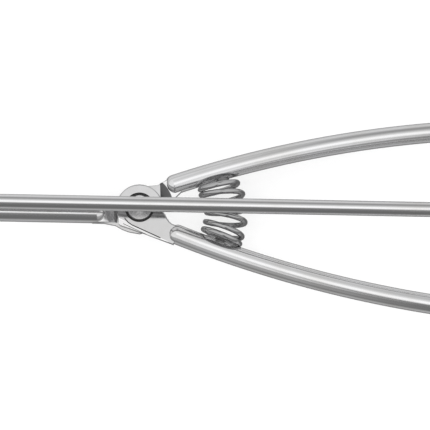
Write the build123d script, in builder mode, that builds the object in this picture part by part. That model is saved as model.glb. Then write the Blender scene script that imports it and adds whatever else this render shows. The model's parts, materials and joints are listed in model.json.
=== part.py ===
"""Cross-action kitchen tongs: two bent steel rods on one pivot, closed by a coil spring.

Units are millimetres. The tongs lie on their side: +Z is up along the pivot axis, +X runs from the
pivot to the handles and +Y towards the moving handle. The origin is the bottom centre of the
whole tool. Everything is drawn from PIVOT, the plane across the pivot axis at the rods' mid height.
"""

from build123d import *
import math
import os

# ---- driving dimensions -------------------------------------------------------------------
HEAVY_R = 6.35 / 2            # quarter inch rod: both handles and the moving shank
LIGHT_R = 4.76 / 2            # three sixteenths rod: the straight backbone
PIVOT_X, PIVOT_Y, PIVOT_Z = -31.8, 2.45, 15.0

BACKBONE_Z = 10.0             # the backbone runs over the pivot, clear of the spring
SHANK_Y = -2.0                # the moving shank lies a little below the pivot centre
SHANK_DOME_X = -13.9          # centre of its domed end at the eye

UPPER_SLOPE, UPPER_R = 19.3, 356.0      # moving handle: starting slope and bow radius
UPPER_START = (11.2, 7.75)
UPPER_CURL_R, UPPER_CURL_DEG = 85.0, 15.5
LOWER_SLOPE, LOWER_R = 20.7, 380.0      # fixed handle
LOWER_START = (11.6, -8.1)
LOWER_STRAIGHT_END = 160.0
TAIL_BEND_R = 24.0

PLATE_T = 1.5                 # forged eyes
PLATE_GAP = 0.25              # from the mid plane to each eye
EYE_FRONT_R = 7.15
EYE_REAR_R = 7.6
BEVEL_FROM, BEVEL_TO, BEVEL_DEG = (-6.6, -1.6), (8.2, -9.9), 9    # along the front eye's lower edge
PIN_R = 2.5
PIN_CLEARANCE = 0.05
HEAD_R, HEAD_T = 4.1, 0.8
COUNTERBORE_R, COUNTERBORE_DEPTH = 4.75, 0.85
STEM_R = 1.6
WASHER_R, WASHER_T = 6.0, 0.4
COLLAR_R, COLLAR_T = 4.5, 0.65
PIN_STICKS_OUT = 0.35         # beyond the collar, where the pin is riveted over

BEND_START, BEND_LENGTH = -48.0, 32.0   # both shanks bend apart over this stretch
JAW_X = -106.0
JAW_RIM_R = 15.0              # half width of a jaw
JAW_STRETCH = 1.45            # length over width of a jaw
JAW_DEPTH = 9.0
JAW_PAD_R = 4.5
JAW_GAP = 0.25                # from the closing plane to each rim
JAW_WALL = 1.0
JAW_NOTCHES, JAW_NOTCH_R = 18, 1.3
JAW_ROD_Y = 10.9              # centre of each rod where it backs its jaw
PADDLE_T, PADDLE_HALF_W = 2.0, 4.5
PADDLE_START, PADDLE_END = -88.0, -111.5
DOME_X = -90.0
RIVET_R, RIVET_HEAD_R, RIVET_HEAD_T = 1.5, 2.6, 0.9
RIVET_PITCH = 9.0
SEAT_FIT = 0.02               # gap between pieces that are fixed together

TAIL_X = 184.0
TAIL_EYE_R = 7.5
TAIL_FIXED_T = 3.0            # handle's eye, centred on the mid plane
TAIL_BACKBONE_T = 2.4
TAIL_DROP_START, TAIL_DROP_LENGTH = 156.0, 20.0
EYELET_BORE_R, EYELET_WALL = 3.0, 0.8
EYELET_FLANGE_R, EYELET_FLANGE_T = 5.4, 0.6

SPRING_X = 27.2
SPRING_LOW_Y = -6.9
SPRING_MEAN_R, WIRE_R = 6.0, 0.9
SPRING_PITCH, SPRING_TURNS = 2.12, 6
STUD_ARC_R, STUD_R, STUD_LENGTH = 27.6, 2.6, 4.0
STUD_UPPER_DEG, STUD_LOWER_DEG = 27.0, -29.5     # where the spring's arc meets each handle's centre

PIVOT = Plane(origin=(PIVOT_X, PIVOT_Y, PIVOT_Z))


def at(x, y, z):
    """A point given from the pivot centre, in the tool's frame."""
    return PIVOT.from_local_coords(Vector(x, y, z))


def round_bar(path, radius):
    """A round rod of the given radius along a path."""
    with BuildPart() as bar:
        with BuildSketch(Plane(origin=path @ 0, z_dir=path % 0)):
            Circle(radius)
        sweep(path=path)
    return bar.part


def ball(x, y, z, radius):
    """The domed end of a rod."""
    with BuildPart() as dome:
        with Locations(at(x, y, z)):
            Sphere(radius)
    return dome.part


def s_bend_path(plane, lead, length, offset, tail):
    """Straight lead, two equal arcs that step sideways by offset, straight tail."""
    with BuildLine(plane) as path:
        start = Line((0, 0), (lead, 0))
        middle = (lead + length / 2, offset / 2)
        first = TangentArc(start @ 1, middle, tangent=start % 1)
        second = TangentArc(first @ 1, (lead + length, offset), tangent=first % 1)
        Line(second @ 1, (lead + length + tail, offset))
    return path.line


def paddle(side):
    """Flat strap on the back of a jaw, drilled for its two rivets. side is +1 or -1 in Y."""
    near = side * (JAW_GAP + JAW_DEPTH + SEAT_FIT)
    strap_length = PADDLE_START - PADDLE_END
    with BuildPart() as strap:
        face = Plane(origin=at(PADDLE_END, near, 0), x_dir=(1, 0, 0), z_dir=(0, side, 0))
        with BuildSketch(face):
            with Locations((strap_length / 2, 0)):
                SlotOverall(strap_length, 2 * PADDLE_HALF_W)
        extrude(amount=PADDLE_T)
        with BuildSketch(face):
            for rivet_x in (-RIVET_PITCH / 2, RIVET_PITCH / 2):
                with Locations((JAW_X + rivet_x - PADDLE_END, 0)):
                    Circle(RIVET_R + SEAT_FIT)
        extrude(amount=PADDLE_T, mode=Mode.SUBTRACT)
    return strap.part


# ---- backbone rod: jaw side, straight middle, drop to the tail -----------------------------
drop = Vector(0, -JAW_ROD_Y, -BACKBONE_Z)
jaw_plane = Plane(
    origin=at(0, 0, BACKBONE_Z), x_dir=(-1, 0, 0), z_dir=Vector(-1, 0, 0).cross(drop)
)
jaw_lead = -BEND_START
jaw_tail = BEND_START - BEND_LENGTH - DOME_X
backbone_front = round_bar(
    s_bend_path(jaw_plane, jaw_lead, BEND_LENGTH, drop.length, jaw_tail), LIGHT_R
)
tail_level = TAIL_FIXED_T / 2 + TAIL_BACKBONE_T / 2
tail_plane = Plane(origin=at(0, 0, BACKBONE_Z), x_dir=(1, 0, 0), z_dir=(0, 1, 0))
backbone_back = round_bar(
    s_bend_path(
        tail_plane,
        TAIL_DROP_START,
        TAIL_DROP_LENGTH,
        BACKBONE_Z - tail_level,
        TAIL_X - EYELET_FLANGE_R - TAIL_DROP_START - TAIL_DROP_LENGTH,
    ),
    LIGHT_R,
)
fixed_paddle = paddle(-1)
backbone_dome = ball(DOME_X, -JAW_ROD_Y, 0, LIGHT_R)

with BuildPart() as backbone_rod:
    add(backbone_front)
    add(backbone_back)
    add(backbone_dome)
    with BuildSketch(Plane(at(TAIL_X, 0, TAIL_FIXED_T / 2 - LIGHT_R))):
        Circle(TAIL_EYE_R)
    extrude(amount=2 * LIGHT_R + BACKBONE_Z, mode=Mode.SUBTRACT)
    add(fixed_paddle)
    with BuildSketch(Plane(at(TAIL_X, 0, TAIL_FIXED_T / 2))):
        Circle(TAIL_EYE_R)
        Circle(EYELET_BORE_R + EYELET_WALL, mode=Mode.SUBTRACT)
    extrude(amount=TAIL_BACKBONE_T)
    # the rod's underside is planed flat where it lies on the handle's eye
    with BuildSketch(Plane(at(TAIL_X, 0, TAIL_FIXED_T / 2))):
        Circle(TAIL_EYE_R + 1.5)
    extrude(amount=-LIGHT_R, mode=Mode.SUBTRACT)

# ---- fixed handle: forged eye at the pivot, long bow, turned-in tail ------------------------
PLATE_TOP = PLATE_GAP + PLATE_T
bevel_line = Vector(BEVEL_TO[0] - BEVEL_FROM[0], BEVEL_TO[1] - BEVEL_FROM[1]).normalized()
bevel_lean = math.radians(BEVEL_DEG)
with BuildPart() as front_eye:
    with BuildSketch(PIVOT.offset(PLATE_GAP)):
        Circle(EYE_FRONT_R)
        with BuildLine():
            Polyline((-7.1, 0.8), (-6.4, -5.7), (11.0, -11.7), (13.4, -6.2), (9.6, -4.4),
                     (8.1, -1.9), (7.0, 1.0), close=True)
        make_face()
    extrude(amount=PLATE_T)
    bevel = Plane(
        origin=at(BEVEL_FROM[0], BEVEL_FROM[1], PLATE_TOP),
        z_dir=(
            bevel_line.Y * math.sin(bevel_lean),
            -bevel_line.X * math.sin(bevel_lean),
            math.cos(bevel_lean),
        ),
    )
    split(bisect_by=bevel, keep=Keep.BOTTOM)

lower_end = Vector(
    LOWER_START[0] + LOWER_R * math.sin(math.radians(LOWER_SLOPE)),
    LOWER_START[1] - LOWER_R * (1 - math.cos(math.radians(LOWER_SLOPE))),
)
with BuildLine(PIVOT) as lower_path:
    bow = JernArc(
        start=LOWER_START,
        tangent=Vector(1, 0).rotate(Axis.Z, -LOWER_SLOPE),
        radius=LOWER_R,
        arc_size=LOWER_SLOPE,
    )
    flat = Line(bow @ 1, (LOWER_STRAIGHT_END, lower_end.Y))
    turn = JernArc(start=flat @ 1, tangent=(1, 0), radius=TAIL_BEND_R, arc_size=90)
    Line(turn @ 1, (LOWER_STRAIGHT_END + TAIL_BEND_R, -EYELET_FLANGE_R))
lower_bar = round_bar(lower_path.line, HEAVY_R)
lower_dome = ball(LOWER_START[0], LOWER_START[1], 0, HEAVY_R)

with BuildPart() as lower_handle:
    add(lower_bar)
    with BuildSketch(Plane(at(TAIL_X, 0, -2 * HEAVY_R))):
        Circle(TAIL_EYE_R)
    extrude(amount=4 * HEAVY_R, mode=Mode.SUBTRACT)
    with BuildSketch(Plane(at(TAIL_X, 0, -TAIL_FIXED_T / 2))):
        Circle(TAIL_EYE_R)
        Circle(EYELET_BORE_R + EYELET_WALL, mode=Mode.SUBTRACT)
    extrude(amount=TAIL_FIXED_T)
    # the rod is planed level with its eye where the backbone lies on it
    with BuildSketch(Plane(at(TAIL_X, 0, TAIL_FIXED_T / 2))):
        Circle(TAIL_EYE_R + 1.5)
    extrude(amount=2 * HEAVY_R, mode=Mode.SUBTRACT)
    add(lower_dome)
    add(front_eye.part)
    with BuildSketch(PIVOT.offset(PLATE_TOP - COUNTERBORE_DEPTH)):
        Circle(COUNTERBORE_R)
    extrude(amount=COUNTERBORE_DEPTH, mode=Mode.SUBTRACT)
    with BuildSketch(PIVOT):
        Circle(PIN_R + SEAT_FIT)
    extrude(amount=PLATE_TOP, mode=Mode.SUBTRACT)

# ---- moving arm: handle, forged eye and shank in one rod -------------------------------------
with BuildLine(PIVOT) as upper_path:
    bow = JernArc(
        start=UPPER_START,
        tangent=Vector(1, 0).rotate(Axis.Z, UPPER_SLOPE),
        radius=UPPER_R,
        arc_size=-UPPER_SLOPE,
    )
    JernArc(start=bow @ 1, tangent=(1, 0), radius=UPPER_CURL_R, arc_size=-UPPER_CURL_DEG)
upper_bar = round_bar(upper_path.line, HEAVY_R)
upper_tip = PIVOT.to_local_coords(upper_path.line @ 1)
upper_dome = ball(UPPER_START[0], UPPER_START[1], 0, HEAVY_R)
upper_tip_dome = ball(upper_tip.X, upper_tip.Y, 0, HEAVY_R)

shank_plane = Plane(origin=at(SHANK_DOME_X, SHANK_Y, 0), x_dir=(-1, 0, 0), z_dir=(0, 0, -1))
shank_bar = round_bar(
    s_bend_path(
        shank_plane,
        SHANK_DOME_X - BEND_START,
        BEND_LENGTH,
        JAW_ROD_Y - SHANK_Y,
        jaw_tail,
    ),
    HEAVY_R,
)
shank_dome = ball(SHANK_DOME_X, SHANK_Y, 0, HEAVY_R)
shank_tip_dome = ball(DOME_X, JAW_ROD_Y, 0, HEAVY_R)
moving_paddle = paddle(1)

with BuildPart() as lever_arm:
    add(upper_bar)
    add(upper_dome)
    add(upper_tip_dome)
    add(shank_bar)
    add(shank_dome)
    add(shank_tip_dome)
    add(moving_paddle)
    with BuildSketch(PIVOT.offset(-PLATE_TOP)):
        Circle(EYE_REAR_R)
        with BuildLine():
            Polyline((-6.0, 4.6), (-13.9, 1.1), (-13.9, -5.1), (-5.0, -5.7), (0, 0), close=True)
        make_face()
        with BuildLine():
            Polyline((1.5, 7.0), (6.2, 7.7), (10.2, 10.45), (12.4, 4.6), (7.5, 0), (0, 0),
                     close=True)
        make_face()
    extrude(amount=PLATE_T)
    with BuildSketch(PIVOT.offset(-PLATE_TOP)):
        Circle(PIN_R + PIN_CLEARANCE)
    extrude(amount=PLATE_T, mode=Mode.SUBTRACT)

# ---- pivot: pin with a flush head and a stem up to the backbone -------------------------------
with BuildPart() as pivot_pin:
    with BuildSketch(PIVOT.offset(-PLATE_TOP - COLLAR_T - PIN_STICKS_OUT)):
        Circle(PIN_R)
    extrude(amount=2 * PLATE_TOP + COLLAR_T + PIN_STICKS_OUT - HEAD_T)
    with BuildSketch(PIVOT.offset(PLATE_TOP - HEAD_T)):
        Circle(HEAD_R)
    extrude(amount=HEAD_T)
    chamfer(pivot_pin.edges().group_by(Axis.Z)[-1], 0.35)
    chamfer(pivot_pin.edges().group_by(Axis.Z)[0], 0.3)
    with BuildSketch(PIVOT.offset(PLATE_TOP - HEAD_T)):
        Circle(STEM_R)
    extrude(amount=BACKBONE_Z - PLATE_TOP + HEAD_T)
    with BuildSketch(Plane(origin=at(-6, 0, BACKBONE_Z), z_dir=(1, 0, 0))):
        Circle(LIGHT_R + 0.01)
    extrude(amount=12, mode=Mode.SUBTRACT)

with BuildPart() as pivot_washer:
    with BuildSketch(PIVOT.offset(-WASHER_T / 2)):
        Circle(WASHER_R)
        Circle(PIN_R + PIN_CLEARANCE, mode=Mode.SUBTRACT)
    extrude(amount=WASHER_T)

with BuildPart() as rear_collar:
    with BuildSketch(PIVOT.offset(-PLATE_TOP - COLLAR_T - 0.05)):
        Circle(COLLAR_R)
        Circle(PIN_R + SEAT_FIT, mode=Mode.SUBTRACT)
    extrude(amount=COLLAR_T)
    chamfer(rear_collar.edges().group_by(Axis.Z)[0].sort_by(SortBy.LENGTH)[-1], 0.25)

# ---- spring and the two studs that hold its ends ---------------------------------------------
with BuildPart() as coil_spring:
    with BuildLine() as coil_path:
        Helix(
            pitch=SPRING_PITCH,
            height=SPRING_PITCH * SPRING_TURNS,
            radius=SPRING_MEAN_R,
            center=at(SPRING_X, SPRING_LOW_Y, 0),
            direction=(0, 1, 0),
            lefthand=True,
        )
    with BuildSketch(Plane(origin=coil_path.line @ 0, z_dir=coil_path.line % 0)):
        Circle(WIRE_R)
    sweep(path=coil_path.line, is_frenet=True)


def spring_stud(handle, root_angle, side):
    """A short peg coped to its handle, pointing along the spring's arc."""
    angle = math.radians(root_angle)
    base = at(STUD_ARC_R * math.cos(angle), STUD_ARC_R * math.sin(angle), 0)
    inward = Vector(-math.sin(angle), math.cos(angle), 0) * side
    with BuildPart() as stud:
        with BuildSketch(Plane(origin=base, z_dir=inward)):
            Circle(STUD_R)
        extrude(amount=HEAVY_R + STUD_LENGTH)
        tips = stud.edges().filter_by(GeomType.CIRCLE).sort_by(Axis.Y)
        chamfer(tips[0] if side < 0 else tips[-1], 0.5)
        add(handle, mode=Mode.SUBTRACT)
    return stud.part


spring_stud_upper = spring_stud(lever_arm.part, STUD_UPPER_DEG, -1)
spring_stud_lower = spring_stud(lower_handle.part, STUD_LOWER_DEG, 1)


# ---- jaws: two pressed bowls, their rims notched for grip --------------------------------------
def jaw_bowl(side):
    """One pressed bowl, its open side on the closing plane. side is +1 or -1 in Y."""
    centre = Plane(origin=at(JAW_X, side * JAW_GAP, 0), x_dir=(1, 0, 0), z_dir=(0, side, 0))
    with BuildPart() as bowl:
        with BuildSketch(Plane.XZ):
            with BuildLine():
                rim = Line((0, 0), (JAW_RIM_R, 0))
                pad = Line((0, JAW_DEPTH), (JAW_PAD_R, JAW_DEPTH))
                TangentArc(pad @ 1, rim @ 1, tangent=(1, 0))
                Line((0, 0), (0, JAW_DEPTH))
            make_face()
        revolve(axis=Axis.Z)
        offset(amount=-JAW_WALL, openings=bowl.faces().sort_by(Axis.Z)[0])
        with PolarLocations(0, JAW_NOTCHES):
            with Locations((JAW_RIM_R, 0, 0)):
                Cylinder(JAW_NOTCH_R, 6, rotation=(0, 90, 0), mode=Mode.SUBTRACT)
        scale(by=(JAW_STRETCH, 1, 1))
        with Locations((-RIVET_PITCH / 2, 0, JAW_DEPTH), (RIVET_PITCH / 2, 0, JAW_DEPTH)):
            Cylinder(RIVET_R + SEAT_FIT, 4 * JAW_WALL, mode=Mode.SUBTRACT)
    return centre.location * bowl.part


def jaw_rivets(side):
    """The two domed rivets that hold a jaw to its strap."""
    inner = JAW_DEPTH - JAW_WALL - RIVET_HEAD_T
    outer = JAW_DEPTH + SEAT_FIT + PADDLE_T
    centre = Plane(origin=at(JAW_X, side * JAW_GAP, 0), x_dir=(1, 0, 0), z_dir=(0, side, 0))
    with BuildPart() as rivets:
        for rivet_x in (-RIVET_PITCH / 2, RIVET_PITCH / 2):
            with BuildSketch(centre.offset(inner)):
                with Locations((rivet_x, 0)):
                    Circle(RIVET_HEAD_R)
            extrude(amount=RIVET_HEAD_T)
            with BuildSketch(centre.offset(inner)):
                with Locations((rivet_x, 0)):
                    Circle(RIVET_R)
            extrude(amount=outer - inner)
            with BuildSketch(centre.offset(outer)):
                with Locations((rivet_x, 0)):
                    Circle(RIVET_HEAD_R)
            extrude(amount=RIVET_HEAD_T)
        ends = rivets.faces().filter_by(Axis.Y).sort_by(Axis.Y)
        fillet(ends[:2].edges() + ends[-2:].edges(), 0.5)
    return rivets.part


fixed_jaw = jaw_bowl(-1)
moving_jaw = jaw_bowl(1)
fixed_jaw_rivets = jaw_rivets(-1)
moving_jaw_rivets = jaw_rivets(1)

# ---- tail eyelet: joins both tails and is the hanging hole --------------------------------------
EYELET_LOW = -TAIL_FIXED_T / 2 - EYELET_FLANGE_T
EYELET_LENGTH = TAIL_FIXED_T + TAIL_BACKBONE_T + 2 * EYELET_FLANGE_T
with BuildPart() as tail_eyelet:
    with BuildSketch(Plane(at(TAIL_X, 0, EYELET_LOW))):
        Circle(EYELET_BORE_R + EYELET_WALL - SEAT_FIT)
    extrude(amount=EYELET_LENGTH)
    for level in (EYELET_LOW, EYELET_LOW + EYELET_LENGTH - EYELET_FLANGE_T):
        with BuildSketch(Plane(at(TAIL_X, 0, level))):
            Circle(EYELET_FLANGE_R)
        extrude(amount=EYELET_FLANGE_T)
    with BuildSketch(Plane(at(TAIL_X, 0, EYELET_LOW))):
        Circle(EYELET_BORE_R)
    extrude(amount=EYELET_LENGTH, mode=Mode.SUBTRACT)

# ---- write every piece ---------------------------------------------------------------------------
pieces = {
    "backbone_rod": backbone_rod.part,
    "lower_handle": lower_handle.part,
    "lever_arm": lever_arm.part,
    "pivot_pin": pivot_pin.part,
    "pivot_washer": pivot_washer.part,
    "rear_collar": rear_collar.part,
    "coil_spring": coil_spring.part,
    "spring_stud_upper": spring_stud_upper,
    "spring_stud_lower": spring_stud_lower,
    "fixed_jaw": fixed_jaw,
    "moving_jaw": moving_jaw,
    "fixed_jaw_rivets": fixed_jaw_rivets,
    "moving_jaw_rivets": moving_jaw_rivets,
    "tail_eyelet": tail_eyelet.part,
}
os.makedirs("parts", exist_ok=True)
for name, piece in pieces.items():
    piece.label = name
    export_step(piece, f"parts/{name}.step")
    low = piece.bounding_box().min
    high = piece.bounding_box().max
    print(f"{name:18s} {low.X:8.2f} {low.Y:8.2f} {low.Z:8.2f}  {high.X:8.2f} {high.Y:8.2f} {high.Z:8.2f}")
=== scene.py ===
# %% [markdown]
# These are cross-action tongs made of two bent steel rods, and this lesson dresses their CAD model.
# The CAD parts hold every size, so the script begins by loading them and keeping their outer box.
# Only the middle of the tool is known; its jaws, handle ends and tail follow the common kind.

# %% Load the frame
import json
import math

import bmesh
import bpy
from mathutils import Matrix, Vector


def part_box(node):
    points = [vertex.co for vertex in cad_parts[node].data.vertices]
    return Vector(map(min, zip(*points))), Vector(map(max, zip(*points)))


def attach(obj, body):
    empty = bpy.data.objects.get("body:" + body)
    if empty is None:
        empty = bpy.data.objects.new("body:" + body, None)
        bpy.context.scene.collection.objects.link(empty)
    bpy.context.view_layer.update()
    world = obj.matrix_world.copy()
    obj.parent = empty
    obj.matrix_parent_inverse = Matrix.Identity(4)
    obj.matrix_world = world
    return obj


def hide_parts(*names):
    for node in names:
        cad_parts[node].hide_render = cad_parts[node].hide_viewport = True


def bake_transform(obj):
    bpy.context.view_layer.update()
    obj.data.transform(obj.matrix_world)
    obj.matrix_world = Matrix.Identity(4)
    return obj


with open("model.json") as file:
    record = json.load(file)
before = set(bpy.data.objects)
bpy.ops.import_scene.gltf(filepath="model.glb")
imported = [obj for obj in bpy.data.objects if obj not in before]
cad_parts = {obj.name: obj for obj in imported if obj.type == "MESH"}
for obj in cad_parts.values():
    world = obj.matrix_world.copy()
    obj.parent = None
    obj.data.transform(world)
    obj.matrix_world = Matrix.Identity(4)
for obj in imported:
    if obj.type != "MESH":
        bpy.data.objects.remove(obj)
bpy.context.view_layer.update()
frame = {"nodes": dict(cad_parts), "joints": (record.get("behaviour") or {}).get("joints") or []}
pivot = Vector(frame["joints"][0]["pos_m"])
print("pivot at", [round(v, 4) for v in pivot])

# %% [markdown]
# The maker thinks in millimetres from the pivot, and Blender wants metres in the tool's frame.
# One helper turns the first into the second, so that every later number is a workshop size.

# %% From the pivot, in millimetres
MM = 0.001


def at(x, y, z):
    """A point given in millimetres from the pivot centre."""
    return pivot + Vector((x, y, z)) * MM


HEAVY_R = 6.35 / 2     # rod of the handles and the moving shank
LIGHT_R = 4.76 / 2     # rod of the backbone
BACKBONE_Z = 10.0
PLATE_GAP = 0.25
PLATE_TOP = 1.75
print("rods", 2 * HEAVY_R, "and", 2 * LIGHT_R, "mm")

# %% [markdown]
# The camera comes first, because it decides which faces matter most. It looks almost straight down
# on the tool from far away with a long lens, which keeps the straight rod straight. It could hang
# exactly overhead, but a few degrees of tilt show the sides of the plates.

# %% Camera
VIEW_WIDTH = 136.5 * MM
CAMERA_DISTANCE = 1.3
CAMERA_ELEVATION = math.radians(83)
CAMERA_ROLL = math.radians(1.09)
aim = at(24.0, -1.8, 0)
toward_camera = Vector((0, -math.cos(CAMERA_ELEVATION), math.sin(CAMERA_ELEVATION)))
camera_data = bpy.data.cameras.new("tongs_camera")
camera_data.sensor_width = 36
camera_data.lens = CAMERA_DISTANCE * camera_data.sensor_width / VIEW_WIDTH
camera_data.clip_end = 20
camera = bpy.data.objects.new("tongs_camera", camera_data)
camera.location = aim + toward_camera * CAMERA_DISTANCE
turn = toward_camera.to_track_quat("Z", "Y").to_matrix().to_4x4()
rolled = turn @ Matrix.Rotation(CAMERA_ROLL, 4, "Z")
camera.rotation_euler = rolled.to_euler()
bpy.context.scene.collection.objects.link(camera)
bpy.context.scene.camera = camera
print("lens", round(camera_data.lens), "mm")

# %% [markdown]
# The light is a plain studio set: a white softbox overhead, darker walls beside it and a
# pale table below. Lamps could make it, but polished rods are mirrors, and what they show is the
# set itself. So the world is painted by direction: bright above, dark on the near side, mid grey
# on the far side. White panels stand at both ends of the set, and only the handles, which run
# askew, pick them up as a wider highlight. Glossy rays see this paint, and the rest sees grey.

# %% Studio world
def value_ramp(nodes, stops):
    """A colour ramp from (position, grey) stops."""
    ramp = nodes.new("ShaderNodeValToRGB")
    elements = ramp.color_ramp.elements
    while len(elements) < len(stops):
        elements.new(0.5)
    for element, (position, grey) in zip(elements, stops):
        element.position = position
        element.color = (grey, grey, grey, 1)
    return ramp


def math_node(nodes, operation, *values):
    """A math node with its plain numbers set; sockets are linked afterwards."""
    node = nodes.new("ShaderNodeMath")
    node.operation = operation
    for socket, value in zip(node.inputs, values):
        if value is not None:
            socket.default_value = value
    return node


STUDIO = [  # degrees from straight up, towards the far side, and brightness
    (-180, 0.22), (-150, 0.24), (-125, 0.50), (-105, 0.40), (-90, 0.18), (-70, 0.16), (-27, 0.20),
    (-20, 0.32), (-14, 0.95), (-4, 1.20), (8, 1.20), (18, 0.90), (32, 0.62), (44, 0.40), (60, 0.33),
    (76, 0.55), (88, 0.78), (120, 0.65), (150, 0.28), (179, 0.22),
]
PANEL_START, PANEL_FULL = 0.05, 0.27     # how far to the side the end panels begin and are full
PANEL_WHITE, ROOM_GREY = 0.92, 0.45
world = bpy.data.worlds.new("studio")
bpy.context.scene.world = world
world.use_nodes = True
nodes, links = world.node_tree.nodes, world.node_tree.links
nodes.clear()
direction = nodes.new("ShaderNodeTexCoord")
split = nodes.new("ShaderNodeSeparateXYZ")
angle = math_node(nodes, "ARCTAN2")
share = math_node(nodes, "MULTIPLY_ADD", None, 0.5 / math.pi, 0.5)
paint = value_ramp(nodes, [((degrees + 180) / 360, grey) for degrees, grey in STUDIO])
END_PANELS = [  # degrees as above, and how strongly the white end panels show there
    (-95, 0.0), (-70, 0.35), (-44, 0.35), (-34, 2.5), (-12, 2.5), (0, 1.0), (60, 0.9), (78, 0.0),
]
panels = value_ramp(nodes, [((degrees + 180) / 360, strength) for degrees, strength in END_PANELS])
sideways = math_node(nodes, "ABSOLUTE")
outer = nodes.new("ShaderNodeMapRange")
outer.interpolation_type = "SMOOTHSTEP"
outer.inputs["From Min"].default_value = PANEL_START
outer.inputs["From Max"].default_value = PANEL_FULL
lighten = math_node(nodes, "MULTIPLY")
lighten.use_clamp = True
lit = nodes.new("ShaderNodeMix")
lit.data_type = "RGBA"
lit.inputs["B"].default_value = (PANEL_WHITE,) * 3 + (1,)
rays = nodes.new("ShaderNodeLightPath")
choose = nodes.new("ShaderNodeMix")
choose.data_type = "RGBA"
choose.inputs["A"].default_value = (ROOM_GREY,) * 3 + (1,)
background = nodes.new("ShaderNodeBackground")
output = nodes.new("ShaderNodeOutputWorld")
links.new(direction.outputs["Generated"], split.inputs[0])
links.new(split.outputs["Y"], angle.inputs[0])
links.new(split.outputs["Z"], angle.inputs[1])
links.new(angle.outputs[0], share.inputs[0])
links.new(share.outputs[0], paint.inputs["Fac"])
links.new(rays.outputs["Is Glossy Ray"], choose.inputs["Factor"])
links.new(share.outputs[0], panels.inputs["Fac"])
links.new(split.outputs["X"], sideways.inputs[0])
links.new(sideways.outputs[0], outer.inputs["Value"])
links.new(outer.outputs["Result"], lighten.inputs[0])
links.new(panels.outputs["Color"], lighten.inputs[1])
links.new(lighten.outputs[0], lit.inputs["Factor"])
links.new(paint.outputs["Color"], lit.inputs["A"])
links.new(lit.outputs["Result"], choose.inputs["B"])
links.new(choose.outputs["Result"], background.inputs["Color"])
links.new(background.outputs[0], output.inputs["Surface"])
bpy.context.scene.view_settings.view_transform = "Standard"
print("studio painted with", len(STUDIO), "stops")

# %% [markdown]
# The tongs rest on the rims of their jaws at one end and on the handle at the other, so the table
# leans by two degrees in the tool's frame. It is covered with matt white paper, whose fibres show
# as a faint grain. A sun without shadows fills it to a clean pale tone; a brighter world could do
# the same, but it would burn out the thin edges of the rods.

# %% Table and sun
jaw_low, jaw_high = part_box("fixed_jaw")
handle_low, handle_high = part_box("lower_handle")
touch_jaw = Vector(((jaw_low.x + jaw_high.x) / 2, 0, jaw_low.z))
TAIL_TOUCH = 4.3 * MM      # from the handle's far end to where it touches the table
TABLE_DROP = 0.15 * MM     # a hair of air, so that the table never cuts the steel
touch_handle = Vector((handle_high.x - TAIL_TOUCH, 0, handle_low.z))
lean = math.atan2(touch_handle.z - touch_jaw.z, touch_handle.x - touch_jaw.x)
TABLE_HALF = 6.0
table_mesh = bpy.data.meshes.new("table")
table_mesh.from_pydata(
    [(x, y, 0) for x, y in ((-TABLE_HALF, -TABLE_HALF), (TABLE_HALF, -TABLE_HALF),
                            (TABLE_HALF, TABLE_HALF), (-TABLE_HALF, TABLE_HALF))],
    [], [(0, 1, 2, 3)],
)
table = bpy.data.objects.new("table", table_mesh)
table.location = touch_jaw - Vector((0, 0, TABLE_DROP))
table.rotation_euler = (0, -lean, 0)
table.visible_glossy = False
bpy.context.scene.collection.objects.link(table)
sun_data = bpy.data.lights.new("fill_sun", "SUN")
sun_data.energy = 2.5
sun_data.use_shadow = False
sun_data.angle = math.radians(60)
sun = bpy.data.objects.new("fill_sun", sun_data)
sun.rotation_euler = (math.radians(12), math.radians(-8), 0)
sun.visible_glossy = False
bpy.context.scene.collection.objects.link(sun)
paper = bpy.data.materials.new("pale_paper")
paper.use_nodes = True
paper_nodes, paper_links = paper.node_tree.nodes, paper.node_tree.links
paper_shader = paper_nodes["Principled BSDF"]
paper_shader.inputs["Specular IOR Level"].default_value = 0.0
fibre = paper_nodes.new("ShaderNodeTexNoise")
fibre.inputs["Scale"].default_value = 350.0
fibre.inputs["Detail"].default_value = 5.0
fibre_tone = value_ramp(paper_nodes, [(0.35, 0.90), (0.65, 0.94)])
fibre_rough = math_node(paper_nodes, "MULTIPLY_ADD", None, 0.2, 0.75)
fibre_relief = paper_nodes.new("ShaderNodeBump")
fibre_relief.inputs["Strength"].default_value = 0.05
fibre_relief.inputs["Distance"].default_value = 0.0001
paper_links.new(fibre.outputs["Fac"], fibre_tone.inputs["Fac"])
paper_links.new(fibre_tone.outputs["Color"], paper_shader.inputs["Base Color"])
paper_links.new(fibre.outputs["Fac"], fibre_rough.inputs[0])
paper_links.new(fibre_rough.outputs[0], paper_shader.inputs["Roughness"])
paper_links.new(fibre.outputs["Fac"], fibre_relief.inputs["Height"])
paper_links.new(fibre_relief.outputs["Normal"], paper_shader.inputs["Normal"])
table_mesh.materials.append(paper)
print("table leans", round(math.degrees(lean), 2), "degrees")

# %% [markdown]
# Steel looks real through small faults. Four of them serve several finishes here, so each is a
# node group: the fine lines that drawing leaves along a rod, the rings that a lathe leaves, the
# cloudy film of handling, and the brighter edges, which are worn and carry a painted glint. A group
# gives out only a mask.

# %% Node group helpers
def shader_group(name, inputs, outputs):
    """An empty shader group with named float or vector sockets."""
    tree = bpy.data.node_groups.new(name, "ShaderNodeTree")
    for socket, kind, value in inputs:
        made = tree.interface.new_socket(socket, in_out="INPUT", socket_type=kind)
        if value is not None:
            made.default_value = value
    for socket in outputs:
        tree.interface.new_socket(socket, in_out="OUTPUT", socket_type="NodeSocketFloat")
    return tree, tree.nodes.new("NodeGroupInput"), tree.nodes.new("NodeGroupOutput")


FLOAT, VECTOR = "NodeSocketFloat", "NodeSocketVector"

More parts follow.
